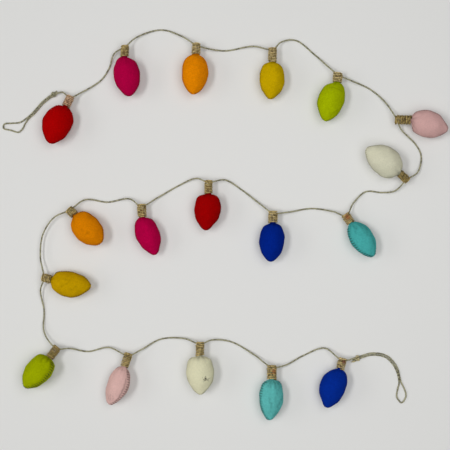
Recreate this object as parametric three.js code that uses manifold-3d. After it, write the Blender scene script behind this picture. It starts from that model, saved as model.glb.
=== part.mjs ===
// A garland of stuffed felt light bulbs strung on jute twine, laid on a table in an S of three rows.
// Each bulb is sewn from two felt panels and filled, its neck is bound with wound twine, and one
// length of twine runs through all the bindings and ends in a knotted loop on either side.
// Millimetres, +Z up, the table at z = 0.

import * as THREE from 'three';
import { mergeVertices } from 'three/addons/utils/BufferGeometryUtils.js';
import Module from 'manifold-3d';

const wasm = await Module();
wasm.setup();

// The middle of the bulbs' and bindings' footprint, in the plan that the tables below use.
const LAY_CENTRE = new THREE.Vector2(13, -7.6);

// Clearance between two pieces that touch.
const GAP = 0.3;

// Twine, and the height of its middle line where it lies on the table.
const TWINE_RADIUS = 1.0;
const TWINE_SIDES = 8;
const LAID = 1.05;

// Felt bulb: its flattening, the seam's low ridge, how deep it settles on the table, and its neck.
const THICKNESS_SHARE = 0.9;
const SEAM_RIDGE = 0.5;
const SEAM_SHARPNESS = 16;
const SETTLED_BY = 1.0;
const NECK_RADIUS = 3.6;
const NECK_END_TO_TWINE = 5.0;
const NECK_BEND_LENGTH = 6.0;
const BULB_SIDES = 16;

// Binding: the wound sleeve round the neck.
const BINDING_SIDES = 12;
const BINDING_PAST_TWINE = 2.0;
const TUNNEL_SIDES = 12;

// Knots: half sizes along the twine, across it and upwards, and the height of the strands in them.
const KNOT = { along: 4.4, across: 4.3, up: 3.0, settledBy: 0.4 };
const KNOT_TWINE_HEIGHT = 2.6;

// Girth of a bulb along its felt, both as shares of the full size.
const FELT_PROFILE = [
  { along: 0.0, girth: 0.34 },
  { along: 0.05, girth: 0.58 },
  { along: 0.13, girth: 0.78 },
  { along: 0.21, girth: 0.91 },
  { along: 0.3, girth: 0.98 },
  { along: 0.39, girth: 1.0 },
  { along: 0.5, girth: 0.965 },
  { along: 0.6, girth: 0.89 },
  { along: 0.7, girth: 0.775 },
  { along: 0.8, girth: 0.6 },
  { along: 0.89, girth: 0.4 },
  { along: 0.96, girth: 0.19 },
  { along: 1.0, girth: 0.0 },
];
const USUAL_BELLY = 0.39;

const FELT = {
  red: 0x9c0a0c,
  magenta: 0xa00a40,
  orange: 0xd07c0c,
  yellow: 0xb59408,
  lime: 0x8f9e0c,
  pink: 0xc89c96,
  cream: 0xcac6a4,
  teal: 0x3f9c9a,
  blue: 0x06257e,
};
const JUTE = 0x8a7a5a;
const BINDING_JUTE = 0x9c8150;

// The bulbs in their order on the twine. strung: where the twine runs through the binding, with its
// height. Angles are degrees anticlockwise from +X, pointing from the binding to the tip. sleeve: twine
// to neck. belly: where the girth is fullest. bow: sideways swell to the right of the tip's direction.
// roll: turn of the seam out of level.
const BULBS = [
  { felt: 'red', strung: [-192, 158, 10.0], sleeveAngle: -114, sleeve: 12.0, sleeveWidth: 11.0,
    angle: -112, length: 50.0, width: 35.0, belly: 0.4, bow: 1.2, roll: 8 },
  { felt: 'magenta', strung: [-124, 220.5, 10.5], sleeveAngle: -92, sleeve: 13.0, sleeveWidth: 10.5,
    angle: -81, length: 48.5, width: 32.5, belly: 0.4, bow: -0.5, roll: -6 },
  { felt: 'orange', strung: [-35.5, 223, 10.0], sleeveAngle: -93, sleeve: 11.5, sleeveWidth: 11.0,
    angle: -93, length: 49.5, width: 32.5, belly: 0.4, bow: -0.6, roll: 10 },
  { felt: 'yellow', strung: [59, 217.5, 10.5], sleeveAngle: -92, sleeve: 15.5, sleeveWidth: 11.0,
    angle: -91, length: 47.0, width: 31.0, belly: 0.41, bow: -0.6, roll: -4 },
  { felt: 'lime', strung: [140, 186.5, 10.0], sleeveAngle: -97, sleeve: 10.0, sleeveWidth: 12.0,
    angle: -109, length: 50.5, width: 33.0, belly: 0.42, bow: 1.0, roll: 5 },
  { felt: 'pink', strung: [213, 130.5, 10.5], sleeveAngle: -2, sleeve: 17.5, sleeveWidth: 11.0,
    angle: -17, length: 47.0, width: 34.5, belly: 0.4, bow: -0.2, roll: -12 },
  { felt: 'cream', strung: [225, 56, 11.0], sleeveAngle: 138, sleeve: 12.5, sleeveWidth: 10.5,
    angle: 145, length: 51.0, width: 37.0, belly: 0.38, bow: 0.9, roll: 6 },
  { felt: 'teal', strung: [150, 11.5, 10.0], sleeveAngle: -56, sleeve: 11.5, sleeveWidth: 11.5,
    angle: -57, length: 48.0, width: 31.0, belly: 0.42, bow: -0.8, roll: -8 },
  { felt: 'blue', strung: [59.5, 15, 10.0], sleeveAngle: -91, sleeve: 12.5, sleeveWidth: 12.0,
    angle: -94, length: 48.0, width: 31.0, belly: 0.4, bow: 0.1, roll: 4 },
  { felt: 'red', strung: [-20.5, 53, 10.5], sleeveAngle: -90, sleeve: 13.5, sleeveWidth: 10.5,
    angle: -95, length: 46.0, width: 32.5, belly: 0.4, bow: -0.2, roll: -7 },
  { felt: 'magenta', strung: [-103.5, 23.5, 10.0], sleeveAngle: -86, sleeve: 14.0, sleeveWidth: 11.5,
    angle: -69, length: 49.0, width: 30.0, belly: 0.42, bow: 0.7, roll: 9 },
  { felt: 'orange', strung: [-192.5, 18.5, 10.5], sleeveAngle: -44, sleeve: 9.5, sleeveWidth: 11.5,
    angle: -47, length: 47.0, width: 35.0, belly: 0.46, bow: -0.6, roll: -5 },
  { felt: 'yellow', strung: [-224.5, -65, 10.0], sleeveAngle: -17, sleeve: 11.0, sleeveWidth: 11.0,
    angle: -9, length: 48.0, width: 31.5, belly: 0.41, bow: 0.3, roll: 7 },
  { felt: 'lime', strung: [-208.5, -153, 10.5], sleeveAngle: -128, sleeve: 13.5, sleeveWidth: 11.0,
    angle: -130, length: 47.5, width: 35.0, belly: 0.39, bow: -0.1, roll: -9 },
  { felt: 'pink', strung: [-120, -161.5, 10.0], sleeveAngle: -109, sleeve: 15.0, sleeveWidth: 11.0,
    angle: -112, length: 49.5, width: 29.5, belly: 0.43, bow: 0.0, roll: 12 },
  { felt: 'cream', strung: [-31, -147.5, 10.5], sleeveAngle: -90, sleeve: 15.0, sleeveWidth: 11.0,
    angle: -89, length: 46.0, width: 34.5, belly: 0.38, bow: 0.0, roll: -4 },
  { felt: 'teal', strung: [58, -176, 10.0], sleeveAngle: -90, sleeve: 16.0, sleeveWidth: 12.5,
    angle: -94, length: 49.5, width: 30.5, belly: 0.42, bow: -0.5, roll: 6 },
  { felt: 'blue', strung: [145.5, -167.5, 10.5], sleeveAngle: -105, sleeve: 11.5, sleeveWidth: 11.0,
    angle: -110, length: 50.0, width: 31.5, belly: 0.4, bow: 1.4, roll: -10 },
];

// The twine's route between one bulb and the next, as points of its middle line.
const BETWEEN_BULBS = [
  [[-181, 163.5, 6], [-154.5, 181, LAID], [-145, 195, LAID], [-137.5, 213.5, 5.5]],
  [[-110, 233.5, 5.5], [-79.5, 243.5, LAID], [-54, 235, 4.5]],
  [[-20, 219, 6], [1, 217.5, LAID], [35, 222.5, 4.5]],
  [[70, 227.5, 6], [88, 230.5, LAID], [112, 212.5, LAID]],
  [[156, 180, 5.5], [181, 169.5, LAID], [199, 153.5, 4]],
  [[219, 119, 6], [238.5, 100, LAID], [245, 86, LAID], [240, 66, 5]],
  [[211.5, 42.5, 5.5], [196, 40.5, LAID], [176, 41.5, LAID], [160, 27.5, 5]],
  [[135, 16.5, 5.5], [108, 20.5, LAID], [79, 16, 4.5]],
  [[45, 25, 5.5], [22, 43, LAID], [0, 56, 4.5]],
  [[-36, 58, 5.5], [-57, 49.5, LAID], [-84, 34, 4]],
  [[-119, 32.5, 5.5], [-147, 28.5, LAID], [-174, 31.5, 4.5]],
  [[-212, 9.5, 8.5], [-226.5, -12, 6.5], [-229.5, -41, 6.5]],
  [[-229.5, -81, 6], [-226, -106, LAID], [-225, -134, 4.5]],
  [[-193.5, -153.5, 6], [-171, -158, LAID], [-145, -152.5, 4]],
  [[-104, -155, 6], [-80, -142.5, LAID], [-50, -141.5, 4.5]],
  [[-16, -143, 6], [8, -146, LAID], [36, -161.5, 4]],
  [[75, -174.5, 5.5], [98, -163, LAID], [124, -153.5, 4]],
];

// The hanging loop before the first bulb: a cut end and a knot, the twine laid double, the loop, and back.
const START_LOOP = [
  [-209.6, 166.6, 1.7], [-215.2, 163.2, KNOT_TWINE_HEIGHT], [-228, 153.9, LAID], [-239, 141.4, LAID],
  [-247.4, 133.6, LAID], [-256, 128.2, LAID], [-266.5, 127, LAID], [-275.5, 126, LAID],
  [-276.5, 120.8, LAID], [-267, 118.2, LAID], [-258.2, 115.8, LAID], [-253.2, 119.6, LAID],
  [-249.6, 126.5, LAID], [-245.9, 131.8, LAID], [-237.4, 139.7, LAID], [-226.4, 152.2, LAID],
  [-213.6, 161.5, KNOT_TWINE_HEIGHT], [-203, 165.4, 5],
];
const START_KNOT = { at: [-214.4, 162.3], angle: 43, tail: 1, through: 16 };

// The hanging loop after the last bulb: a knot, the twine laid double, the loop, back and the cut end.
const END_LOOP = [
  [164.6, -165.1, KNOT_TWINE_HEIGHT], [183.5, -160.1, LAID], [202, -163.4, LAID], [214.4, -176.9, LAID],
  [219.7, -195.8, LAID], [224, -205, LAID], [226, -213.5, LAID], [220.5, -222, LAID],
  [214.5, -214.5, LAID], [215.6, -205, LAID], [217.4, -196.2, LAID], [212.3, -178.1, LAID],
  [200.7, -165.5, LAID], [183.5, -162.4, LAID], [165.2, -167.3, KNOT_TWINE_HEIGHT], [159.2, -168.6, 1.8],
];
const END_KNOT = { at: [164.9, -166.2], angle: 14, through: 0, tail: 14 };

const toVector = ([x, y, z]) => new THREE.Vector3(x - LAY_CENTRE.x, y - LAY_CENTRE.y, z);
const smooth = (share) => THREE.MathUtils.smoothstep(share, 0, 1);

const routeTable = [...START_LOOP];
const strungAt = [];
BULBS.forEach((bulb, index) => {
  strungAt.push(routeTable.length);
  routeTable.push(bulb.strung, ...(BETWEEN_BULBS[index] ?? []));
});
const endLoopStart = routeTable.length;
routeTable.push(...END_LOOP);
const routePoints = routeTable.map(toVector);

// A route whose sections fall on its points, each square to the mean of the two stretches it joins.
class RouteThroughPoints extends THREE.CatmullRomCurve3 {
  indexAt(share) {
    return Math.round(share * (this.points.length - 1));
  }

  getPointAt(share) {
    return this.points[this.indexAt(share)].clone();
  }

  getTangentAt(share) {
    const index = this.indexAt(share);
    const here = this.points[index];
    const before = this.points[index - 1];
    const after = this.points[index + 1];
    const tangent = new THREE.Vector3();
    if (before) tangent.add(here.clone().sub(before).normalize());
    if (after) tangent.add(after.clone().sub(here).normalize());
    return tangent.normalize();
  }
}

function tubeAlong(points, radius, sides) {
  const corners = Array.from({ length: sides }, (_, side) => {
    const turn = (side / sides) * 2 * Math.PI;
    return new THREE.Vector2(radius * Math.cos(turn), radius * Math.sin(turn));
  });
  return new THREE.ExtrudeGeometry(new THREE.Shape(corners), {
    steps: points.length - 1,
    extrudePath: new RouteThroughPoints(points),
    bevelEnabled: false,
  });
}

function toSolid(geometry) {
  const bare = geometry.clone();
  bare.deleteAttribute('normal');
  bare.deleteAttribute('uv');
  const merged = mergeVertices(bare, 1e-4);
  return new wasm.Manifold(new wasm.Mesh({
    numProp: 3,
    vertProperties: new Float32Array(merged.attributes.position.array),
    triVerts: new Uint32Array(merged.index.array),
  }));
}

function toGeometry(solid) {
  const mesh = solid.getMesh();
  const geometry = new THREE.BufferGeometry();
  geometry.setAttribute('position', new THREE.BufferAttribute(mesh.vertProperties, mesh.numProp));
  geometry.setIndex(new THREE.BufferAttribute(mesh.triVerts, 1));
  geometry.computeVertexNormals();
  return geometry;
}

// The twine's own passage through a piece: a slightly fat copy of the stretch round one route point.
function passage(index) {
  const stretch = routePoints.slice(Math.max(index - 1, 0), index + 2);
  return toSolid(tubeAlong(stretch, TWINE_RADIUS + GAP, TUNNEL_SIDES));
}

function cutPassages(geometry, indices) {
  return toGeometry(indices.reduce((solid, index) => solid.subtract(passage(index)), toSolid(geometry)));
}

// The line through a bulb's middle: straight in the binding, bending at the neck and straight on to the
// tip, rising so that the belly stands on the table while the binding hangs at the twine's height.
function spineOf(bulb) {
  const strung = toVector(bulb.strung);
  const bellyHeight = (bulb.width / 2) * THICKNESS_SHARE - SETTLED_BY;
  const rise = Math.asin((bellyHeight - strung.z) / (bulb.sleeve + bulb.belly * bulb.length));
  const ahead = (angle) => {
    const turn = THREE.MathUtils.degToRad(angle);
    return new THREE.Vector3(Math.cos(turn), Math.sin(turn), Math.tan(rise)).normalize();
  };
  const neck = strung.clone().addScaledVector(ahead(bulb.sleeveAngle), bulb.sleeve);
  const bendEnd = neck.clone()
    .addScaledVector(ahead((bulb.sleeveAngle + bulb.angle) / 2), NECK_BEND_LENGTH);

  return (along) => {
    const bend = THREE.MathUtils.clamp(along / NECK_BEND_LENGTH, 0, 1);
    const forward = ahead(THREE.MathUtils.lerp(bulb.sleeveAngle, bulb.angle, bend));
    const centre = along < 0
      ? neck.clone().addScaledVector(forward, along)
      : neck.clone().lerp(bendEnd, bend).addScaledVector(forward, Math.max(along - NECK_BEND_LENGTH, 0));
    const right = new THREE.Vector3(forward.y, -forward.x, 0).normalize();
    return { centre, right, up: new THREE.Vector3().crossVectors(right, forward) };
  };
}

// Flattens what would sink into the table, so that a soft piece stands on a flat spot.
function keepAboveTable(geometry) {
  const places = geometry.attributes.position;
  for (let index = 0; index < places.count; index += 1) {
    places.setZ(index, Math.max(places.getZ(index), 0));
  }
  geometry.computeVertexNormals();
}

// Turns a profile, given as [radius, along] pairs, about the bulb's own spine. reshape moves each point
// of a section: it takes how far sideways, upwards and along it lies, and returns the first two anew.
function turnAboutSpine(bulb, profile, sides, reshape = (sideways, upwards) => [sideways, upwards]) {
  const outline = profile.map(([radius, along]) => new THREE.Vector2(radius, along));
  const geometry = new THREE.LatheGeometry(outline, sides);
  const spineAt = spineOf(bulb);
  const places = geometry.attributes.position;
  const place = new THREE.Vector3();
  for (let index = 0; index < places.count; index += 1) {
    place.fromBufferAttribute(places, index);
    const along = place.y;
    const { centre, right, up } = spineAt(along);
    const [sideways, upwards] = reshape(place.x, place.z, along);
    place.copy(centre).addScaledVector(right, sideways).addScaledVector(up, upwards);
    places.setXYZ(index, place.x, place.y, place.z);
  }
  keepAboveTable(geometry);
  return geometry;
}

// A stuffed bulb with the neck that goes up into its binding.
function bulbGeometry(bulb) {
  const neckLength = bulb.sleeve - NECK_END_TO_TWINE;
  const shift = Math.log(bulb.belly) / Math.log(USUAL_BELLY);
  const profile = [[0, -neckLength], [NECK_RADIUS, -neckLength], [NECK_RADIUS, 0]];
  for (const { along, girth } of FELT_PROFILE) {
    profile.push([(girth * bulb.width) / 2, bulb.length * along ** shift]);
  }
  const roll = THREE.MathUtils.degToRad(bulb.roll);
  return turnAboutSpine(bulb, profile, BULB_SIDES, (sideways, upwards, along) => {
    if (along <= 0) return [sideways, upwards];
    const radius = Math.max(Math.hypot(sideways, upwards), Number.EPSILON);
    const fullness = smooth(radius / (bulb.width / 4));
    const ridge = SEAM_RIDGE * fullness * Math.abs(sideways / radius) ** SEAM_SHARPNESS;
    const wide = sideways * (1 + ridge / radius);
    const thick = upwards * THREE.MathUtils.lerp(1, THICKNESS_SHARE, fullness);
    const bow = bulb.bow * Math.sin(Math.PI * Math.min(along / bulb.length, 1));
    return [
      wide * Math.cos(roll) - thick * Math.sin(roll) + bow,
      wide * Math.sin(roll) + thick * Math.cos(roll),
    ];
  });
}

// The wound sleeve round the neck, closed past the twine that runs through it.
function bindingGeometry(bulb, routeIndex) {
  const radius = bulb.sleeveWidth / 2;
  const socketEnd = -(bulb.sleeve - NECK_END_TO_TWINE) - GAP;
  const socketRadius = NECK_RADIUS + GAP;
  const end = -(bulb.sleeve + BINDING_PAST_TWINE);
  const profile = [
    [0, end], [0.72 * radius, end + 0.4], [radius, end + 2.4],
    [radius, -GAP], [socketRadius, -GAP], [socketRadius, socketEnd], [0, socketEnd],
  ];
  return cutPassages(turnAboutSpine(bulb, profile, BINDING_SIDES), [routeIndex]);
}

// A knot's lump, settled on the table, with the two strands running through it.
function knotGeometry(knot, firstIndex) {
  const geometry = new THREE.SphereGeometry(1, 12, 6);
  geometry.rotateX(Math.PI / 2);
  geometry.scale(KNOT.along, KNOT.across, KNOT.up);
  geometry.rotateZ(THREE.MathUtils.degToRad(knot.angle));
  geometry.translate(knot.at[0] - LAY_CENTRE.x, knot.at[1] - LAY_CENTRE.y, KNOT.up - KNOT.settledBy);
  keepAboveTable(geometry);
  return cutPassages(geometry, [firstIndex + knot.through, firstIndex + knot.tail]);
}

const garland = new THREE.Group();

function add(name, geometry, color) {
  const material = new THREE.MeshStandardMaterial({ color, roughness: 0.95, metalness: 0 });
  const mesh = new THREE.Mesh(geometry, material);
  mesh.name = name;
  garland.add(mesh);
}

BULBS.forEach((bulb, index) => {
  const number = String(index + 1).padStart(2, '0');
  add(`bulb_${number}`, bulbGeometry(bulb), FELT[bulb.felt]);
  add(`binding_${number}`, bindingGeometry(bulb, strungAt[index]), BINDING_JUTE);
});
add('twine', tubeAlong(routePoints, TWINE_RADIUS, TWINE_SIDES), JUTE);
add('knot_start', knotGeometry(START_KNOT, 0), JUTE);
add('knot_end', knotGeometry(END_KNOT, endLoopStart), JUTE);

export default garland;
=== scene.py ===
"""A garland of stuffed felt light bulbs on jute twine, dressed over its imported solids.

Each bulb is two felt panels whip-stitched round the edge and filled. Its neck is bound with wound
jute twine, and one length of twine runs through all the bindings and ends in a knotted loop on
either side. Tables are in millimetres as in the plan of the lay; meshes are in metres.
"""

import logging
import math
from dataclasses import dataclass, field, replace
from enum import Enum

import bpy
import numpy as np
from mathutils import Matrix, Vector
from mathutils.bvhtree import BVHTree

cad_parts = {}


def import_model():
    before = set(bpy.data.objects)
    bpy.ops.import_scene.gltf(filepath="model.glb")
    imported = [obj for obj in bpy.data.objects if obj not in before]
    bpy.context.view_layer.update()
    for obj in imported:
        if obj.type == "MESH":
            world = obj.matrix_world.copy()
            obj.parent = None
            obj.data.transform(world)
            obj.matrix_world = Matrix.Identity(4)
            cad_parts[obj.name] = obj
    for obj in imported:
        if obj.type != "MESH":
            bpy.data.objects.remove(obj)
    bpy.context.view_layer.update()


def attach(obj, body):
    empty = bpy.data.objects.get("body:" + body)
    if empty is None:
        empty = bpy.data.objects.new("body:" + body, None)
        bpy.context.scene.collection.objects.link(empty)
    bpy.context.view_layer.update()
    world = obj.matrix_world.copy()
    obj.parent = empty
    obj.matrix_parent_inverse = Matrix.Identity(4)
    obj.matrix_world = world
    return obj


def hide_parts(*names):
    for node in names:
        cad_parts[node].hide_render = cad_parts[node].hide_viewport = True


log = logging.getLogger("garland")

MM = 0.001
LAY_CENTRE = (13.0, -7.6)

# How far hairs and twine stay above the table, in metres.
HAIR_CLEARANCE = 0.03 * MM
TWINE_CLEARANCE = 0.02 * MM

# Where each chance begins.
FELT_SEED = 700
BINDING_SEED = 300
TWINE_SEED = 41
TUFT_SEED = 16
FRAY_SEED = 5

STUFFING_FRAMES = 20
# The bulb that has dark fibre caught on it, and where on the plan.
TUFTED_BULB = 16
TUFTED_AT = (-23.9, -188.5)

Point = tuple[float, float, float]
Colour = tuple[float, float, float]
Light = tuple[float, float, float, float]


class Felt(Enum):
    """The nine colours of felt."""

    RED = "red"
    MAGENTA = "magenta"
    ORANGE = "orange"
    YELLOW = "yellow"
    LIME = "lime"
    PINK = "pink"
    CREAM = "cream"
    TEAL = "teal"
    BLUE = "blue"


class Jute(Enum):
    """The shades of twine that the bindings are wound from."""

    REDDISH = "reddish"
    OLIVE = "olive"
    GOLDEN = "golden"
    DARK = "dark"


class Hair(Enum):
    """How a loose fibre is bent."""

    STRAIGHT = 0
    BENT = 1


@dataclass(frozen=True)
class Fold:
    """A narrow line drawn in a bulb's felt, from one place to another.

    The turns are degrees round from the right-hand seam, the shares are of the bulb's length, and
    the depth and width are in millimetres.
    """

    turn: float
    share: float
    end_turn: float
    end_share: float
    depth: float = 0.35
    width: float = 0.7


@dataclass(frozen=True)
class BulbPlan:
    """One bulb's place in the lay, in millimetres and degrees anticlockwise from +X.

    strung is where the twine runs through the binding. The angles point from the binding to the
    tip. sleeve is the length from the twine to the neck, belly where the girth is fullest, bow the
    sideways swell to the right of the tip's direction, and roll the turn of the seam out of level,
    which raises the right-hand seam. shoulder and nose widen the felt at the neck and before the
    tip, as shares of the girth. crown is the turn at which the top is highest, in degrees from the
    right-hand seam, and crown_height its rise. thread is how light the stitches are beside the
    felt, thread_width how thick they are, stitch_pitch how far apart, and reach how far a stitch
    goes into the felt. gathered is how far the gathers run from the neck, fluff how many loose
    fibres there are, and folds the lines drawn in the felt.
    """

    felt: Felt
    strung: Point
    sleeve_angle: float
    sleeve: float
    sleeve_width: float
    angle: float
    length: float
    width: float
    belly: float
    bow: float
    roll: float
    jute: Jute
    shoulder: float = 0.0
    nose: float = 0.0
    crown: float = 92.0
    crown_height: float = 1.1
    thread: float = 0.55
    thread_width: float = 0.5
    stitch_pitch: float = 2.75
    reach: float = 1.9
    gathered: float = 4.5
    fluff: int = 1100
    folds: tuple[Fold, ...] = ()


BULBS = (
    BulbPlan(Felt.RED, (-192, 158, 10.0), -114, 14.2, 11.0, -112, 48.8, 35.0, 0.4, 1.2, 8,
             Jute.REDDISH, shoulder=-0.02),
    BulbPlan(Felt.MAGENTA, (-124, 220.5, 10.5), -92, 13.8, 10.5, -81, 48.9, 32.5, 0.4, -0.5, -6,
             Jute.OLIVE, shoulder=-0.03, crown=86),
    BulbPlan(Felt.ORANGE, (-35.5, 223, 10.0), -93, 13.2, 11.0, -94, 49.6, 33.0, 0.41, -0.6, 14,
             Jute.GOLDEN, folds=(Fold(150, 0.24, 120, 0.3, -0.3),)),
    BulbPlan(Felt.YELLOW, (59, 217.5, 10.5), -92, 17.0, 11.0, -93.3, 45.6, 31.0, 0.41, -1.0, 10,
             Jute.GOLDEN, shoulder=0.06, nose=-0.04, crown=97, crown_height=1.5),
    BulbPlan(Felt.LIME, (140, 186.5, 10.0), -97, 11.2, 12.0, -109, 50.2, 32.0, 0.42, 1.0, 5,
             Jute.GOLDEN, shoulder=-0.02, nose=-0.03,
             folds=(Fold(55, 0.2, 125, 0.2, 0.25), Fold(150, 0.62, 118, 0.78, 0.2))),
    BulbPlan(Felt.PINK, (213, 130.5, 10.5), -2, 18.5, 11.8, -17, 45.6, 33.0, 0.4, 0.2, -15,
             Jute.DARK, shoulder=0.01, nose=-0.07, thread_width=0.6, reach=2.6),
    BulbPlan(Felt.CREAM, (225, 56, 11.0), 138, 14.0, 10.5, 145, 50.6, 35.6, 0.38, 0.9, 6,
             Jute.DARK, shoulder=-0.05, nose=-0.03, thread=0.8),
    BulbPlan(Felt.TEAL, (150, 11.5, 10.0), -56, 12.3, 11.5, -57, 48.4, 29.6, 0.42, -0.8, 22,
             Jute.OLIVE, shoulder=-0.04, thread=0.2, thread_width=0.95, stitch_pitch=3.2, reach=3.6,
             gathered=6.5,
             folds=(Fold(128, 0.07, 112, 0.92, 0.45, 0.9), Fold(64, 0.08, 52, 0.28),
                    Fold(84, 0.1, 66, 0.2), Fold(110, 0.06, 100, 0.26),
                    Fold(120, 0.3, 96, 0.48, 0.25))),
    BulbPlan(Felt.BLUE, (59.5, 15, 10.0), -91, 14.0, 12.0, -94, 46.8, 31.0, 0.4, 0.1, 4,
             Jute.GOLDEN, shoulder=0.02, crown=100, crown_height=1.6),
    BulbPlan(Felt.RED, (-20.5, 53, 10.5), -90, 15.8, 10.5, -95, 44.4, 32.2, 0.36, -0.2, -7,
             Jute.OLIVE, shoulder=0.07, nose=-0.04, crown=98, crown_height=1.5),
    BulbPlan(Felt.MAGENTA, (-103.5, 23.5, 10.0), -86, 15.0, 11.5, -69, 48.6, 28.4, 0.42, -0.1, 9,
             Jute.OLIVE, shoulder=0.04, nose=-0.03, crown=98, crown_height=1.8),
    BulbPlan(Felt.ORANGE, (-192.5, 18.5, 10.5), -44, 10.5, 11.5, -45.2, 47.2, 34.2, 0.46, 0.9, -5,
             Jute.OLIVE, shoulder=0.06,
             folds=(Fold(75, 0.35, 96, 0.72, 0.2), Fold(60, 0.55, 84, 0.62, 0.2))),
    BulbPlan(Felt.YELLOW, (-224.5, -65, 10.0), -17, 11.0, 11.0, -8.5, 49.4, 30.4, 0.43, 1.6, 7,
             Jute.OLIVE, shoulder=0.05, thread=0.35, thread_width=0.8, stitch_pitch=3.0, reach=2.8,
             fluff=1900,
             folds=(Fold(70, 0.3, 100, 0.5, 0.3), Fold(104, 0.28, 112, 0.55, 0.25),
                    Fold(60, 0.55, 84, 0.7, 0.25))),
    BulbPlan(Felt.LIME, (-208.5, -153, 10.5), -128, 15.3, 11.0, -130, 45.8, 35.0, 0.39, -0.1, -40,
             Jute.DARK, shoulder=0.05, thread=0.22, thread_width=0.9, stitch_pitch=3.0, reach=3.6,
             gathered=6.0,
             folds=(Fold(96, 0.04, 110, 0.2), Fold(80, 0.03, 76, 0.12),
                    Fold(66, 0.3, 80, 0.62, 0.2))),
    BulbPlan(Felt.PINK, (-120, -161.5, 10.0), -109, 16.2, 11.0, -112, 48.8, 28.0, 0.43, -1.2, -30,
             Jute.OLIVE, thread=0.3, thread_width=0.8, stitch_pitch=3.0, reach=3.0, gathered=5.5,
             folds=(Fold(156, 0.2, 160, 0.92, 0.8, 1.1), Fold(96, 0.7, 112, 0.9, 0.3),
                    Fold(78, 0.74, 92, 0.86, 0.3), Fold(118, 0.72, 130, 0.86, 0.25))),
    BulbPlan(Felt.CREAM, (-31, -147.5, 10.5), -90, 15.6, 11.0, -89, 46.4, 33.5, 0.38, 0.0, -4,
             Jute.OLIVE, shoulder=0.08, nose=-0.04, thread=0.8),
    BulbPlan(Felt.TEAL, (58, -176, 10.0), -90, 16.4, 12.5, -94, 49.1, 30.2, 0.42, -0.5, 20,
             Jute.OLIVE, nose=-0.03, shoulder=0.08, thread=0.25, thread_width=0.9, stitch_pitch=3.1,
             reach=3.6, gathered=8.0,
             folds=(Fold(60, 0.03, 40, 0.17), Fold(78, 0.03, 62, 0.16), Fold(96, 0.03, 86, 0.2),
                    Fold(112, 0.03, 128, 0.16), Fold(130, 0.04, 146, 0.2), Fold(118, 0.14, 98, 0.3),
                    Fold(136, 0.35, 112, 0.6, 0.3), Fold(126, 0.42, 104, 0.66, 0.3),
                    Fold(70, 0.5, 76, 0.78, 0.3), Fold(58, 0.28, 66, 0.6, 0.25),
                    Fold(120, 0.66, 100, 0.86, 0.3), Fold(88, 0.34, 92, 0.55, 0.2))),
    BulbPlan(Felt.BLUE, (145.5, -167.5, 10.5), -105, 12.6, 11.0, -111, 49.0, 31.5, 0.41, 1.6, -10,
             Jute.GOLDEN, nose=-0.05, shoulder=-0.04, crown=100),
)

# The height of the twine's middle line on the table and in a knot.
LAID = 1.05
KNOTTED = 2.6

# The twine's route between one bulb and the next.
BETWEEN_BULBS: tuple[tuple[Point, ...], ...] = (
    ((-181, 163.5, 6), (-154.5, 181, LAID), (-145, 195, LAID), (-137.5, 213.5, 5.5)),
    ((-110, 233.5, 5.5), (-79.5, 243.5, LAID), (-54, 235, 4.5)),
    ((-20, 219, 6), (1, 217.5, LAID), (35, 222.5, 4.5)),
    ((70, 227.5, 6), (88, 230.5, LAID), (112, 212.5, LAID)),
    ((156, 180, 5.5), (181, 169.5, LAID), (199, 153.5, 4)),
    ((219, 119, 6), (238.5, 100, LAID), (245, 86, LAID), (240, 66, 5)),
    ((211.5, 42.5, 5.5), (196, 40.5, LAID), (176, 41.5, LAID), (160, 27.5, 5)),
    ((135, 16.5, 5.5), (108, 20.5, LAID), (79, 16, 4.5)),
    ((45, 25, 5.5), (22, 43, LAID), (0, 56, 4.5)),
    ((-36, 58, 5.5), (-57, 49.5, LAID), (-84, 34, 4)),
    ((-119, 32.5, 5.5), (-147, 28.5, LAID), (-174, 31.5, 4.5)),
    ((-212, 9.5, 8.5), (-226.5, -12, 6.5), (-229.5, -41, 6.5)),
    ((-229.5, -81, 6), (-226, -106, LAID), (-225, -134, 4.5)),
    ((-193.5, -153.5, 6), (-171, -158, LAID), (-145, -152.5, 4)),
    ((-104, -155, 6), (-80, -142.5, LAID), (-50, -141.5, 4.5)),
    ((-16, -143, 6), (8, -146, LAID), (36, -161.5, 4)),
    ((75, -174.5, 5.5), (98, -163, LAID), (124, -153.5, 4)),
)

# The hanging loops: a cut end, a knot, the twine laid double, the loop and back.
START_LOOP: tuple[Point, ...] = (
    (-209.6, 166.6, 1.7), (-215.2, 163.2, KNOTTED), (-228, 153.9, LAID), (-239, 141.4, LAID),
    (-247.4, 133.6, LAID), (-256, 128.2, LAID), (-266.5, 127, LAID), (-275.5, 126, LAID),
    (-276.5, 120.8, LAID), (-267, 118.2, LAID), (-258.2, 115.8, LAID), (-253.2, 119.6, LAID),
    (-249.6, 126.5, LAID), (-245.9, 131.8, LAID), (-237.4, 139.7, LAID), (-226.4, 152.2, LAID),
    (-213.6, 161.5, KNOTTED), (-203, 165.4, 5),
)
END_LOOP: tuple[Point, ...] = (
    (164.6, -165.1, KNOTTED), (183.5, -160.1, LAID), (202, -163.4, LAID), (214.4, -176.9, LAID),
    (219.7, -195.8, LAID), (224, -205, LAID), (226, -213.5, LAID), (220.5, -222, LAID),
    (214.5, -214.5, LAID), (215.6, -205, LAID), (217.4, -196.2, LAID), (212.3, -178.1, LAID),
    (200.7, -165.5, LAID), (183.5, -162.4, LAID), (165.2, -167.3, KNOTTED), (159.2, -168.6, 1.8),
)
# The cut end that the last knot leaves, below the twine.
END_KNOT_TAIL: tuple[Point, ...] = (
    (165.6, -166.6, 2.4), (163.6, -168.8, 2.2), (161.4, -170.3, 1.6), (158.8, -170.8, 1.1),
)


# Working with meshes.


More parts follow.
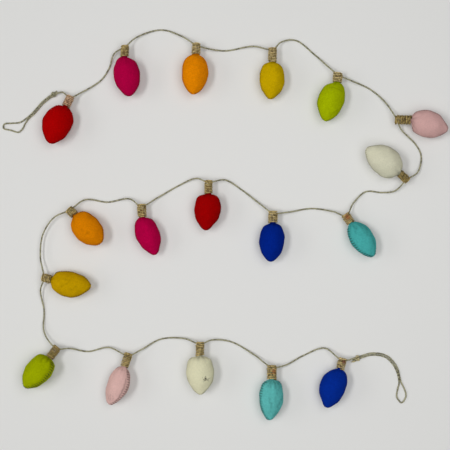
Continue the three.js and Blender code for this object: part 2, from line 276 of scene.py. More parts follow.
def on_plan(place: Point) -> np.ndarray:
    """Return a place of the plan, in millimetres, in the frame, in metres."""
    return np.array([place[0] - LAY_CENTRE[0], place[1] - LAY_CENTRE[1], place[2]], float) * MM


def eased(share: np.ndarray | float) -> np.ndarray | float:
    """Return a share from 0 to 1 with a soft start and end."""
    share = np.clip(share, 0.0, 1.0)
    return share * share * (3.0 - 2.0 * share)


def above_table(
    points: np.ndarray, clearance: float | np.ndarray = HAIR_CLEARANCE
) -> np.ndarray:
    """Return points with what would lie below the table lifted onto it.

    Args:
        points: The points, which are changed.
        clearance: How far they stay above the table, in metres.
    """
    points[:, 2] = np.maximum(points[:, 2], clearance)
    return points


def unit(ways: np.ndarray) -> np.ndarray:
    """Return directions made one long."""
    return ways / np.linalg.norm(ways, axis=-1, keepdims=True)


def travelled_along(route: np.ndarray) -> np.ndarray:
    """Return how far each place of a route lies from its start."""
    return np.concatenate([[0.0], np.cumsum(np.linalg.norm(np.diff(route, axis=0), axis=1))])


def put_in_scene(name: str, data: bpy.types.ID) -> bpy.types.Object:
    """Return a new object of a mesh, lamp or camera, in the scene.

    Args:
        name: The object's name.
        data: What the object shows.
    """
    thing = bpy.data.objects.new(name, data)
    bpy.context.scene.collection.objects.link(thing)
    return thing


def select_only(piece: bpy.types.Object) -> None:
    """Make a piece the only selected one, and the active one."""
    bpy.ops.object.select_all(action="DESELECT")
    piece.select_set(True)
    bpy.context.view_layer.objects.active = piece


def read_points(piece: bpy.types.Object, wanted: str = "co") -> np.ndarray:
    """Return the places of a mesh's points, or their normals where normal is wanted."""
    values = np.empty(len(piece.data.vertices) * 3, np.float32)
    piece.data.vertices.foreach_get(wanted, values)
    return values.reshape(-1, 3).astype(float)


def write_points(piece: bpy.types.Object, places: np.ndarray) -> None:
    """Move a mesh's points to new places."""
    piece.data.vertices.foreach_set("co", places.astype(np.float32).ravel())
    piece.data.update()


def read_attribute(piece: bpy.types.Object, name: str) -> np.ndarray:
    """Return one number for each point of a mesh."""
    values = np.empty(len(piece.data.vertices), np.float32)
    piece.data.attributes[name].data.foreach_get("value", values)
    return values.astype(float)


def write_attribute(piece: bpy.types.Object, name: str, values: np.ndarray) -> None:
    """Keep one number for each point of a mesh."""
    kept = piece.data.attributes.get(name) or piece.data.attributes.new(name, "FLOAT", "POINT")
    kept.data.foreach_set("value", values.astype(np.float32))


def apply_modifiers(piece: bpy.types.Object) -> None:
    """Make a piece's modifiers part of its mesh."""
    select_only(piece)
    for modifier in list(piece.modifiers):
        bpy.ops.object.modifier_apply(modifier=modifier.name)


@dataclass
class Cloud:
    """Points, faces and each face corner's place on the UV map, gathered for one mesh."""

    points: list[np.ndarray] = field(default_factory=list)
    faces: list[list[int]] = field(default_factory=list)
    corners: list[tuple[float, float]] = field(default_factory=list)
    count: int = 0

    def add(
        self,
        points: np.ndarray,
        faces: list[list[int]],
        corners: list[tuple[float, float]] | None = None,
    ) -> None:
        """Add one closed shape.

        Args:
            points: The shape's points.
            faces: Its faces, as numbers of its own points.
            corners: The UV place of each face corner in turn.
        """
        self.points.append(points)
        self.faces.extend([index + self.count for index in face] for face in faces)
        self.corners.extend(corners or [(0.0, 0.0)] * sum(len(face) for face in faces))
        self.count += len(points)

    def to_piece(self, name: str) -> bpy.types.Object:
        """Return a smooth-shaded object made of what was gathered.

        Args:
            name: The object's name.
        """
        mesh = bpy.data.meshes.new(name)
        mesh.from_pydata(np.concatenate(self.points).tolist(), [], self.faces)
        uv_map = mesh.uv_layers.new(name="UVMap")
        uv_map.uv.foreach_set("vector", np.array(self.corners, np.float32).ravel())
        mesh.polygons.foreach_set("use_smooth", [True] * len(mesh.polygons))
        mesh.update()
        return put_in_scene(name, mesh)


def smooth_route(points: np.ndarray, step: float) -> np.ndarray:
    """Return evenly spaced places on a smooth curve through points.

    Args:
        points: The points that the curve runs through.
        step: The distance between two places.
    """
    ends = np.vstack([2 * points[0] - points[1], points, 2 * points[-1] - points[-2]])
    places = []
    for before, here, after, beyond in zip(ends, ends[1:], ends[2:], ends[3:]):
        knots = np.cumsum([0.0] + [
            max(np.linalg.norm(b - a), 1e-9) ** 0.5
            for a, b in ((before, here), (here, after), (after, beyond))
        ])
        for at in np.linspace(knots[1], knots[2], 24, endpoint=False):
            def between(a: np.ndarray, b: np.ndarray, start: float, end: float) -> np.ndarray:
                """Return the place between two others at this knot."""
                return a + (b - a) * (at - start) / (end - start)

            first = between(before, here, knots[0], knots[1])
            second = between(here, after, knots[1], knots[2])
            third = between(after, beyond, knots[2], knots[3])
            places.append(between(
                between(first, second, knots[0], knots[2]),
                between(second, third, knots[1], knots[3]), knots[1], knots[2],
            ))
    places = np.array([*places, points[-1]])
    travelled = travelled_along(places)
    wanted = np.linspace(0.0, travelled[-1], max(int(round(travelled[-1] / step)), 2) + 1)
    return np.column_stack([np.interp(wanted, travelled, places[:, axis]) for axis in range(3)])


def frames_along(route: np.ndarray) -> tuple[np.ndarray, np.ndarray, np.ndarray]:
    """Return a route's directions and two square directions that turn as little as they can.

    Args:
        route: The places along the route.

    Returns:
        The tangents, and the two sideways directions, one of each for each place.
    """
    ahead = unit(np.gradient(route, axis=0))
    side = np.cross(ahead[0], [0.0, 0.0, 1.0])
    if np.linalg.norm(side) < 1e-3:
        side = np.cross(ahead[0], [1.0, 0.0, 0.0])
    sides = []
    for direction in ahead:
        side = unit(side - direction * np.dot(side, direction))
        sides.append(side)
    sides = np.array(sides)
    return ahead, sides, np.cross(ahead, sides)


def add_tube(
    cloud: Cloud, route: np.ndarray, radii: np.ndarray, sides: int, offset: float = 0.0
) -> None:
    """Add a round tube with closed ends along a route.

    Args:
        cloud: What the tube is added to.
        route: The places of its middle line.
        radii: Its radius at each place.
        sides: How many sides it has.
        offset: Where its length starts on the UV map.
    """
    _, side, up = frames_along(route)
    turns = np.arange(sides) / sides * 2 * math.pi
    ring = side[:, None, :] * np.cos(turns)[:, None] + up[:, None, :] * np.sin(turns)[:, None]
    points = (route[:, None, :] + ring * radii[:, None, None]).reshape(-1, 3)
    travelled = offset + travelled_along(route)
    girth = 2 * math.pi * float(np.max(radii))
    faces, corners = [], []
    for row in range(len(route) - 1):
        for column in range(sides):
            after = (column + 1) % sides
            here, there = row * sides, (row + 1) * sides
            faces.append([here + column, here + after, there + after, there + column])
            low, high = column / sides * girth, (column + 1) / sides * girth
            corners += [(travelled[row], low), (travelled[row], high),
                        (travelled[row + 1], high), (travelled[row + 1], low)]
    last = (len(route) - 1) * sides
    faces.append(list(range(sides))[::-1])
    faces.append([last + column for column in range(sides)])
    corners += [(travelled[0], 0.0)] * sides + [(travelled[-1], 0.0)] * sides
    cloud.add(points, faces, corners)


@dataclass(frozen=True)
class Twine:
    """Jute twine laid from three strands, in metres."""

    strand_radius: float = 0.5 * MM
    lay_radius: float = 0.52 * MM
    lead: float = 7.0 * MM
    strands: int = 3
    sides: int = 6
    fray: float = 0.0

    @property
    def radius(self) -> float:
        """Half the twine's thickness."""
        return self.strand_radius + self.lay_radius

    def lay_along(self, cloud: Cloud, route: np.ndarray, turned: float = 0.0) -> None:
        """Add the twine's strands along a route.

        Args:
            cloud: What the strands are added to.
            route: Evenly spaced places of the twine's middle line.
            turned: The turn of the strands at the start, in radians.
        """
        _, side, up = frames_along(route)
        travelled = travelled_along(route)
        to_end = np.minimum(travelled, travelled[-1] - travelled)
        spread = self.lay_radius * (1.0 + self.fray * np.exp(-((to_end / (1.6 * MM)) ** 2)))
        swell = 1.0 + 0.09 * np.sin(travelled / MM * 0.83) * np.sin(travelled / MM * 0.31 + 1.0)
        for strand in range(self.strands):
            turn = turned + travelled / self.lead * 2 * math.pi
            turn = turn + strand / self.strands * 2 * math.pi
            line = route + side * (spread * np.cos(turn))[:, None]
            line = line + up * (spread * np.sin(turn))[:, None]
            radii = self.strand_radius * swell
            radii[[0, -1]] *= 0.6
            add_tube(cloud, line, radii, self.sides, offset=0.37 * strand)


# The slimmer twine of the bindings and knots.
WOUND_TWINE = Twine(strand_radius=0.46 * MM, lay_radius=0.48 * MM, lead=6.0 * MM)

# The turns of a hair's three corners.
THIRDS_OF_A_TURN = (0.0, 2.0944, 4.18879)


def add_fluff(
    cloud: Cloud,
    roots: np.ndarray,
    directions: np.ndarray,
    lengths: np.ndarray,
    width: float,
    shape: Hair,
    dice: np.random.Generator,
) -> None:
    """Add slim hairs, each a closed spike.

    Args:
        cloud: What the hairs are added to.
        roots: Where the hairs start.
        directions: The way that each hair starts, of unit length.
        lengths: How long each hair is.
        width: How thick a hair is at its root.
        shape: Whether the hairs are straight or bent.
        dice: The source of chance.
    """
    count = len(roots)
    helper = np.where(np.abs(directions[:, 2:3]) < 0.9, [[0.0, 0.0, 1.0]], [[1.0, 0.0, 0.0]])
    side = unit(np.cross(directions, helper))
    up = np.cross(directions, side)
    bend = dice.uniform(-0.9, 0.9, (count, 2))
    ring = [(math.cos(turn), math.sin(turn)) for turn in THIRDS_OF_A_TURN]
    for index in range(count):
        across, over, ahead = side[index], up[index], directions[index]
        length = lengths[index]
        base = [roots[index] + (across * c + over * s) * width / 2 for c, s in ring]
        swing = across * bend[index, 0] + over * bend[index, 1]
        if shape is Hair.STRAIGHT:
            tip = roots[index] + ahead * length + swing * length * 0.2
            points = above_table(np.array([*base, tip]))
            cloud.add(points, [[2, 1, 0], [0, 1, 3], [1, 2, 3], [2, 0, 3]])
            continue
        middle = roots[index] + ahead * length * 0.55
        tip = roots[index] + ahead * length * 0.9 + swing * length * 0.45
        waist = [middle + (across * c + over * s) * width * 0.35 for c, s in ring]
        cloud.add(
            above_table(np.array([*base, *waist, tip])),
            [[2, 1, 0], [0, 1, 4, 3], [1, 2, 5, 4], [2, 0, 3, 5], [3, 4, 6], [4, 5, 6], [5, 3, 6]],
        )


# Finishes.


def linear(tone: Colour, dimmed: float = 1.0) -> Light:
    """Return a colour read as 0 to 255 on a screen as light, for a shader.

    Args:
        tone: The colour.
        dimmed: The share of its light, above 1 where it is made lighter.
    """
    shares = [value / 255 for value in tone]
    lights = [s / 12.92 if s <= 0.04045 else ((s + 0.055) / 1.055) ** 2.4 for s in shares]
    return (*[min(light * dimmed, 1.0) for light in lights], 1.0)


class Shading:
    """A material whose nodes are being laid out."""

    def __init__(self, name: str) -> None:
        """Start a material with the usual surface shader.

        Args:
            name: The material's name.
        """
        self.material = bpy.data.materials.new(name)
        self.material.use_nodes = True
        self.tree = self.material.node_tree
        self.shader = self.tree.nodes["Principled BSDF"]

    def add(
        self, kind: str, values: dict[str | int, object] | None = None, **settings: object
    ) -> bpy.types.Node:
        """Return a new node.

        Args:
            kind: The node's type, without its ShaderNode prefix.
            values: Numbers or colours for its sockets.
            settings: Its own settings.
        """
        node = self.tree.nodes.new("ShaderNode" + kind)
        for name, value in settings.items():
            setattr(node, name, value)
        for socket, value in (values or {}).items():
            node.inputs[socket].default_value = value
        return node

    def join(self, source: bpy.types.NodeSocket, target: bpy.types.NodeSocket) -> None:
        """Link two sockets."""
        self.tree.links.new(source, target)

    def mix(
        self,
        share: bpy.types.NodeSocket | float,
        first: bpy.types.NodeSocket | Colour,
        second: bpy.types.NodeSocket | Colour,
        blend: str = "MIX",
    ) -> bpy.types.NodeSocket:
        """Return a mix of two colours.

        Args:
            share: How much of the second colour there is.
            first: The first colour, or the socket that gives it.
            second: The second colour, or the socket that gives it.
            blend: How they are mixed.
        """
        node = self.add("Mix", data_type="RGBA", blend_type=blend)
        for socket, value in ((0, share), (6, first), (7, second)):
            if isinstance(value, bpy.types.NodeSocket):
                self.join(value, node.inputs[socket])
            else:
                node.inputs[socket].default_value = value
        return node.outputs[2]

    def noise(
        self, place: bpy.types.NodeSocket, scale: float, detail: float, rough: float = 0.5,
        distort: float = 0.0,
    ) -> bpy.types.NodeSocket:
        """Return a cloudy pattern.

        Args:
            place: The coordinates that it is laid on.
            scale: How many clouds there are to the metre.
            detail: How many finer layers it has.
            rough: How strong the finer layers are.
            distort: How much it is stirred.
        """
        node = self.add(
            "TexNoise",
            {"Scale": scale, "Detail": detail, "Roughness": rough, "Distortion": distort},
        )
        self.join(place, node.inputs["Vector"])
        return node.outputs["Fac"]

    def stretched(
        self, place: bpy.types.NodeSocket, scale: Point, turn: Point = (0.0, 0.0, 0.0)
    ) -> bpy.types.NodeSocket:
        """Return coordinates stretched and turned.

        Args:
            place: The coordinates to change.
            scale: The stretch along each axis.
            turn: The turn about each axis, in radians.
        """
        node = self.add("Mapping", {"Scale": scale, "Rotation": turn})
        self.join(place, node.inputs["Vector"])
        return node.outputs["Vector"]

    def ranged(
        self, value: bpy.types.NodeSocket, low: float, high: float, to: tuple[float, float] = (0, 1)
    ) -> bpy.types.NodeSocket:
        """Return a value spread from one range to another.

        Args:
            value: The value to spread.
            low: What becomes the new range's start.
            high: What becomes its end.
            to: The new range.
        """
        node = self.add("MapRange", {1: low, 2: high, 3: to[0], 4: to[1]})
        self.join(value, node.inputs[0])
        return node.outputs[0]

    def bump(
        self, height: bpy.types.NodeSocket, strength: float, distance: float,
        normal: bpy.types.NodeSocket | None = None,
    ) -> bpy.types.NodeSocket:
        """Return normals roughened by a height.

        Args:
            height: The height's pattern.
            strength: How strong the relief is.
            distance: How high it is, in metres.
            normal: Normals that were roughened before.
        """
        node = self.add("Bump", {"Strength": strength, "Distance": distance})
        self.join(height, node.inputs["Height"])
        if normal is not None:
            self.join(normal, node.inputs["Normal"])
        return node.outputs["Normal"]

    def finish(
        self,
        colour: bpy.types.NodeSocket,
        normal: bpy.types.NodeSocket | None = None,
        **surface: object,
    ) -> bpy.types.Material:
        """Return the material, with its colour, relief and surface.

        Args:
            colour: The colour's pattern.
            normal: The roughened normals.
            surface: Values for the shader's sockets, with _ for a space in their names.
        """
        self.join(colour, self.shader.inputs["Base Color"])
        if normal is not None:
            self.join(normal, self.shader.inputs["Normal"])
        for name, value in surface.items():
            self.shader.inputs[name.replace("_", " ")].default_value = value
        return self.material


@dataclass(frozen=True)
class FeltFinish:
    """Wool-blend felt with a short nap.

    tone is the colour seen in soft light, and depth how far the mottling goes.
    """

    name: str
    tone: Colour
    depth: float
    nap: float = 0.05

    def shade(self, factor: float) -> Light:
        """Return the tone made darker or lighter."""
        return linear(self.tone, factor)

    def material(self) -> bpy.types.Material:
        """Return the felt's material."""
        work = Shading(self.name)
        place = work.add("TexCoord").outputs["Object"]
        tuft = work.noise(place, 620, 3, 0.62, 0.7)
        fibre = work.noise(place, 1700, 4, 0.7, 1.4)
        patch = work.noise(place, 150, 3, 0.55)
        pit = work.noise(place, 800, 2, 0.5, 0.4)
        strand_one, strand_two = (
            work.noise(work.stretched(place, scale, turn), 1, 3, 0.6, 0.8)
            for scale, turn in (
                ((420, 3200, 3200), (0.3, 0.5, 0.7)), ((3200, 420, 3200), (0.6, -0.4, 0.5)),
            )
        )
        seam = work.add("Attribute", attribute_name="seam").outputs["Fac"]

        deep, plain = self.shade(1.0 - 1.7 * self.depth), self.shade(1.0)
        pale = self.shade(1.0 + 1.9 * self.depth)
        colour = work.mix(work.ranged(tuft, 0.34, 0.66), deep, pale)
        colour = work.mix(work.ranged(fibre, 0.3, 0.7, (0.1, 0.6)), colour, plain)
        colour = work.mix(work.ranged(strand_one, 0.6, 0.72, (0.0, 0.45)), colour, pale)
        colour = work.mix(work.ranged(strand_two, 0.6, 0.74, (0.0, 0.4)), colour, deep)
        shadow = self.shade(1.0 - 3.0 * self.depth)
        colour = work.mix(work.ranged(pit, 0.62, 0.74, (0.0, 0.5)), colour, shadow)
        mottled = self.shade(1 - self.depth)
        colour = work.mix(work.ranged(patch, 0.38, 0.68, (0.0, 0.4)), colour, mottled)
        # Darker along the seam's line, with painted shade in its crease, the stitch holes, tucks
        # and folds and under the binding.
        colour = work.mix(work.ranged(seam, 0.0, 1.0, (0.0, 0.7)), colour, self.shade(0.42))

        relief = work.bump(tuft, 0.6, 0.0007)
        relief = work.bump(strand_one, 0.4, 0.00025, relief)
        relief = work.bump(fibre, 0.6, 0.00025, relief)
        return work.finish(
            colour, relief, Roughness=0.95, Diffuse_Roughness=0.0, Specular_IOR_Level=0.02,
            Sheen_Weight=self.nap, Sheen_Roughness=0.6, Sheen_Tint=self.shade(1.5),
        )


@dataclass(frozen=True)
class ThreadFinish:
    """Sewing thread, a shade off its felt."""

    name: str
    tone: Colour
    shade: float

    def material(self) -> bpy.types.Material:
        """Return the thread's material."""
        work = Shading(self.name)
        along = work.add("TexCoord").outputs["UV"]
        ply = work.noise(work.stretched(along, (1400, 5200, 1)), 1, 2)
        dark, light = linear(self.tone, self.shade * 0.6), linear(self.tone, self.shade)
        colour = work.mix(work.ranged(ply, 0.35, 0.65), dark, light)
        relief = work.bump(ply, 0.6, 0.0001)
        return work.finish(colour, relief, Roughness=0.7, Specular_IOR_Level=0.3)


@dataclass(frozen=True)
class JuteFinish:
    """Jute fibre: straw, brown and grey streaks along each strand, with painted shade between the
    turns.

    A stain is a patch of another tone round one place on the plan, reach millimetres wide.
    """

    name: str
    straw: Colour
    brown: Colour
    grey: Colour
    stain: Colour | None = None
    stained_at: Point = (0.0, 0.0, 0.0)
    reach: float = 5.0

    def material(self) -> bpy.types.Material:
        """Return the jute's material."""
        work = Shading(self.name)
        coordinates = work.add("TexCoord")
        along, place = coordinates.outputs["UV"], coordinates.outputs["Object"]
        streak = work.noise(work.stretched(along, (380, 4200, 1)), 1, 4, 0.65, 0.5)
        fleck = work.noise(place, 700, 3, 0.6)
        drift = work.noise(place, 390, 2, 0.6)
        groove = work.add("Attribute", attribute_name="groove").outputs["Fac"]
        colour = work.mix(work.ranged(streak, 0.34, 0.64), linear(self.brown), linear(self.straw))
        colour = work.mix(work.ranged(fleck, 0.52, 0.72, (0.0, 0.6)), colour, linear(self.grey))
        deep, shade_between_turns = linear(self.brown, 0.3), linear(self.brown, 0.06)
        colour = work.mix(work.ranged(drift, 0.48, 0.6, (0.0, 0.72)), colour, deep)
        if self.stain is not None:
            gap = work.add("VectorMath", operation="DISTANCE")
            work.join(place, gap.inputs[0])
            gap.inputs[1].default_value = on_plan(self.stained_at)
            reach = self.reach * MM
            near = work.ranged(gap.outputs["Value"], 0.4 * reach, reach, (0.82, 0.0))
            colour = work.mix(near, colour, linear(self.stain))
        # Painted shade deep between the turns of the binding.
        colour = work.mix(work.ranged(groove, 0.0, 1.0, (0.0, 0.78)), colour, shade_between_turns)
        relief = work.bump(streak, 0.7, 0.00018)
        return work.finish(colour, relief, Roughness=0.85, Specular_IOR_Level=0.2)


@dataclass(frozen=True)
class TableFinish:
    """A smooth, pale painted table top."""

    name: str = "pale_table"
    tone: Colour = (231, 231, 229)

    def material(self) -> bpy.types.Material:
        """Return the table's material."""
        work = Shading(self.name)
        place = work.add("TexCoord").outputs["Object"]
        haze = work.noise(place, 3.0, 2)
        colour = work.mix(haze, linear(self.tone), linear(self.tone, 0.985))
        return work.finish(colour, Roughness=0.75, Specular_IOR_Level=0.2)


# How strongly the felt is mottled, and the cream and pink felt.
MOTTLING = 0.12
PALE_MOTTLING = 0.06

# Each bulb's felt, as its colour is seen in soft light; the two bulbs of one colour differ in tone
# by how the light falls on each, which is painted light and shade.
FELT_TONES_AS_LIT: tuple[Colour, ...] = (
    (171, 1, 2), (177, 2, 65), (232, 136, 2),
    (201, 167, 2), (164, 180, 2), (210, 168, 164),
    (215, 213, 188), (73, 173, 170), (2, 36, 136),
    (158, 1, 2), (180, 2, 67), (221, 130, 2),
    (198, 156, 2), (159, 172, 2), (223, 183, 176),
    (225, 222, 188), (95, 185, 181), (5, 44, 146),
)

TWINE_JUTE = JuteFinish("jute_twine", (206, 202, 168), (116, 112, 86), (188, 186, 164))
KNOT_JUTE = JuteFinish("knot_jute", (236, 224, 178), (158, 146, 106), (216, 206, 168))
DARK_FIBRE = JuteFinish("dark_fibre", (104, 100, 68), (52, 50, 34), (92, 90, 64))
BINDING_JUTE: dict[Jute, JuteFinish] = {
    Jute.REDDISH: JuteFinish("jute_reddish", (255, 226, 184), (190, 130, 92), (240, 206, 170)),
    Jute.OLIVE: JuteFinish("jute_olive", (254, 230, 158), (146, 118, 62), (232, 212, 156)),
    Jute.GOLDEN: JuteFinish("jute_golden", (252, 236, 174), (178, 142, 80), (244, 224, 172)),
    Jute.DARK: JuteFinish("jute_dark", (238, 210, 134), (104, 80, 38), (202, 180, 122)),
}
# Bindings with a patch of another tone: the bulb, the jute, the stain, its place and its reach.
STAINS = (
    (8, Jute.OLIVE, (212, 122, 74), (151.0, 10.0, 18.0), 5.5),
    (11, Jute.OLIVE, (44, 46, 30), (-96.5, 23.5, 16.0), 3.4),
    (17, Jute.OLIVE, (208, 124, 66), (61.5, -180.5, 18.0), 5.0),
    (18, Jute.GOLDEN, (150, 84, 66), (147.0, -169.0, 16.0), 3.6),
)
STAINED_JUTE: dict[int, JuteFinish] = {
    number: replace(
        BINDING_JUTE[jute], name=f"jute_{number:02d}", stain=tone, stained_at=place, reach=reach
    )
    for number, jute, tone, place, reach in STAINS
}


# The garland's parts.


class Spine:
    """The line through a bulb's middle, straight in the binding and bending at the neck."""

    bend_length = 6.0
    settled_by = 1.0
    thickness = 0.9

    def __init__(self, plan: BulbPlan) -> None:
        """Work out the rise that stands the belly on the table.

        Args:
            plan: The bulb's place in the lay.
        """
        self.plan = plan
        self.strung = on_plan(plan.strung) / MM
        belly_height = plan.width / 2 * self.thickness - self.settled_by
        self.rise = math.asin(
            (belly_height - self.strung[2]) / (plan.sleeve + plan.belly * plan.length)
        )
        self.neck = self.strung + self.ahead(plan.sleeve_angle) * plan.sleeve
        middle = (plan.sleeve_angle + plan.angle) / 2
        self.bend_end = self.neck + self.ahead(middle) * self.bend_length

    def ahead(self, angle: float | np.ndarray) -> np.ndarray:
        """Return the direction of the spine at an angle of the plan, in degrees."""
        turn = np.radians(angle)
        direction = np.stack(
            [np.cos(turn), np.sin(turn), np.full_like(turn, math.tan(self.rise))], axis=-1
        )
        return direction / np.linalg.norm(direction, axis=-1, keepdims=True)

    def place(self, sideways: np.ndarray, upwards: np.ndarray, along: np.ndarray) -> np.ndarray:
        """Return places given by how far they lie from the neck, in metres.

        Args:
            sideways: How far to the right of the tip's direction, in millimetres.
            upwards: How far above the spine.
            along: How far from the neck towards the tip, negative in the binding.
        """
        plan = self.plan
        bend = np.clip(along / self.bend_length, 0.0, 1.0)
        forward = self.ahead(plan.sleeve_angle + (plan.angle - plan.sleeve_angle) * bend)
        in_felt = self.neck + (self.bend_end - self.neck) * bend[..., None]
        in_felt = in_felt + forward * np.maximum(along - self.bend_length, 0.0)[..., None]
        in_binding = self.neck + forward * along[..., None]
        centre = np.where(along[..., None] < 0, in_binding, in_felt)
        right = np.stack([forward[..., 1], -forward[..., 0], np.zeros_like(along)], axis=-1)
        right = right / np.linalg.norm(right, axis=-1, keepdims=True)
        up = np.cross(right, forward)
        return (centre + right * sideways[..., None] + up * upwards[..., None]) * MM


@dataclass
class FeltBulb:
    """Two felt panels whip-stitched together and stuffed, as one closed skin with a seam.

    Sizes are in millimetres. profile gives the girth along the felt, both as shares. slack is how
    thin the skin is made beside the spine's thickness.
    """

    number: int
    plan: BulbPlan
    profile: tuple[tuple[float, float], ...] = (
        (0.0, 0.34), (0.05, 0.61), (0.12, 0.785), (0.2, 0.9), (0.3, 0.98), (0.39, 1.0), (0.5, 0.98),
        (0.6, 0.92), (0.7, 0.825), (0.8, 0.665), (0.89, 0.465), (0.96, 0.245), (1.0, 0.0),
    )
    usual_belly: float = 0.39
    neck_radius: float = 2.9
    neck_end_to_twine: float = 5.0
    felt_rings: int = 54
    columns: tuple[float, ...] = (0.0, 2.4, 5.6, 10.0, 16.5, 26.0, 39.0, 55.0, 72.5)
    slack: float = 0.94
    pressure: float = 4.0
    stiffness: float = 2.0
    cloth_steps: int = 4
    swell_limit: float = 1.3
    gathers: int = 11
    fibre_width: float = 0.08
    stitch_sides: int = 6
    # Where a stitch's line is found, as shares of its reach to either side of the seam.
    stitch_shares: tuple[float, ...] = (-1.0, -0.72, -0.4, -0.13, 0.13, 0.4, 0.72, 1.0)

    def __post_init__(self) -> None:
        """Work out the spine and the girth along the felt."""
        self.spine = Spine(self.plan)
        self.dice = np.random.default_rng(FELT_SEED + self.number)
        shift = math.log(self.plan.belly) / math.log(self.usual_belly)
        shares, girths = (np.array(column) for column in zip(*self.profile))
        fine = np.linspace(0.0, 1.0, 400)
        slopes = self.gentle_slopes(shares, girths)
        girth = self.curve_through(shares, girths, slopes, fine)
        girth += self.plan.shoulder * np.exp(-(((fine - 0.08) / 0.1) ** 2)) * eased(fine / 0.03)
        girth += self.plan.nose * np.exp(-(((fine - 0.85) / 0.12) ** 2)) * eased((1 - fine) / 0.08)
        radii = girth * self.plan.width / 2
        alongs = self.plan.length * fine**shift
        steps = np.hypot(np.diff(alongs), np.diff(radii))
        self.edge = np.concatenate([[0.0], np.cumsum(steps)])
        self.edge_along, self.edge_radius = alongs, radii
        self.waves = self.dice.uniform(0, 2 * math.pi, 6)

    @staticmethod
    def gentle_slopes(shares: np.ndarray, girths: np.ndarray) -> np.ndarray:
        """Return slopes at a profile's points that don't overshoot."""
        runs = np.diff(girths) / np.diff(shares)
        slopes = np.concatenate([[runs[0]], (runs[:-1] + runs[1:]) / 2, [runs[-1] * 1.6]])
        for index in range(1, len(runs)):
            if runs[index - 1] * runs[index] <= 0:
                slopes[index] = 0.0
        return slopes

    @staticmethod
    def curve_through(
        shares: np.ndarray, girths: np.ndarray, slopes: np.ndarray, wanted: np.ndarray
    ) -> np.ndarray:
        """Return a smooth curve's values through a profile's points.

        Args:
            shares: Where the points are.
            girths: Their values.
            slopes: The curve's slopes there.
            wanted: Where values are wanted.
        """
        index = np.clip(np.searchsorted(shares, wanted, side="right") - 1, 0, len(shares) - 2)
        run = shares[index + 1] - shares[index]
        t = (wanted - shares[index]) / run
        return (
            (2 * t**3 - 3 * t**2 + 1) * girths[index]
            + (t**3 - 2 * t**2 + t) * run * slopes[index]
            + (3 * t**2 - 2 * t**3) * girths[index + 1]
            + (t**3 - t**2) * run * slopes[index + 1]
        )

    def section(
        self, turn: np.ndarray, along: np.ndarray, radius: np.ndarray, thickness: float
    ) -> np.ndarray:
        """Return places round the spine, in metres.

        Args:
            turn: The angle round from the right-hand seam, in radians.
            along: How far from the neck.
            radius: The radius there.
            thickness: The share of the width that the bulb is thick.
        """
        fullness = eased(radius / (self.plan.width / 4))
        wide = radius * np.cos(turn)
        thick = radius * np.sin(turn) * (1 + (thickness - 1) * fullness)
        roll = math.radians(self.plan.roll)
        length_share = np.clip(along / self.plan.length, 0.0, 1.0)
        bow = self.plan.bow * np.sin(math.pi * length_share)
        return self.spine.place(
            wide * math.cos(roll) - thick * math.sin(roll) + bow,
            wide * math.sin(roll) + thick * math.cos(roll),
            along,
        )

    def cut_panels(self) -> None:
        """Make the two panels as one slack closed skin, a ball turned into the bulb's shape."""
        quarter = np.array(self.columns)
        half = np.concatenate([quarter, [90.0], 180.0 - quarter[:0:-1]])
        turns = np.radians(np.concatenate([half, half + 180.0]))
        neck_length = self.plan.sleeve - self.neck_end_to_twine
        neck = [(-neck_length, 0.0), (-neck_length, 2.4), (-neck_length + 0.5, self.neck_radius),
                (-1.6, self.neck_radius), (-0.5, self.neck_radius + 0.6)]
        spacing = np.linspace(0.0, self.edge[-1], self.felt_rings + 2)
        alongs, radii = (
            np.concatenate([in_neck, np.interp(spacing, self.edge, in_felt)])
            for in_neck, in_felt in zip(zip(*neck), (self.edge_along, self.edge_radius))
        )
        rings = len(alongs) - 1

        bpy.ops.object.select_all(action="DESELECT")
        bpy.ops.mesh.primitive_uv_sphere_add(segments=len(turns), ring_count=rings, radius=1.0)
        self.piece = bpy.context.object
        self.piece.name = self.piece.data.name = f"felt_bulb_{self.number:02d}"
        ball = read_points(self.piece)
        ring = np.rint(np.arccos(np.clip(ball[:, 2], -1, 1)) / math.pi * rings).astype(int)
        column = np.rint(np.arctan2(ball[:, 1], ball[:, 0]) / (2 * math.pi) * len(turns))
        turn = turns[column.astype(int) % len(turns)]
        along, radius = alongs[ring], radii[ring]
        write_points(self.piece, self.section(turn, along, radius, Spine.thickness * self.slack))
        write_attribute(self.piece, "along", along)
        write_attribute(self.piece, "wide", np.cos(turn))
        write_attribute(self.piece, "thick", np.sin(turn))
        self.flip_if_inside_out()
        held = self.piece.vertex_groups.new(name="held")
        at_seam = np.abs(np.sin(turn)) < 0.01
        fixed = at_seam | (along < 2.0) | (along > self.plan.length - 0.5)
        held.add([int(index) for index in np.flatnonzero(fixed)], 1.0, "REPLACE")

    def flip_if_inside_out(self) -> None:
        """Turn the faces outwards, since the spine's axes mirror the ball."""
        select_only(self.piece)
        bpy.ops.object.mode_set(mode="EDIT")
        bpy.ops.mesh.select_all(action="SELECT")
        bpy.ops.mesh.normals_make_consistent(inside=False)
        bpy.ops.object.mode_set(mode="OBJECT")

    def start_stuffing(self) -> None:
        """Put the skin under a light pressure from inside, held along the seams.

        The pressure is slight for a skin this small and moves it by less than a micrometre, so
        the bulb's fullness is the skin's own shape and what sew adds.
        """
        self.slack_points = read_points(self.piece)
        cloth = self.piece.modifiers.new("stuffing", "CLOTH")
        cloth.settings.use_pressure = True
        cloth.settings.uniform_pressure_force = self.pressure
        cloth.settings.vertex_group_mass = "held"
        cloth.settings.effector_weights.gravity = 0.0
        cloth.settings.bending_stiffness = self.stiffness
        cloth.settings.quality = self.cloth_steps
        cloth.collision_settings.use_collision = False
        cloth.point_cache.frame_start, cloth.point_cache.frame_end = 1, STUFFING_FRAMES

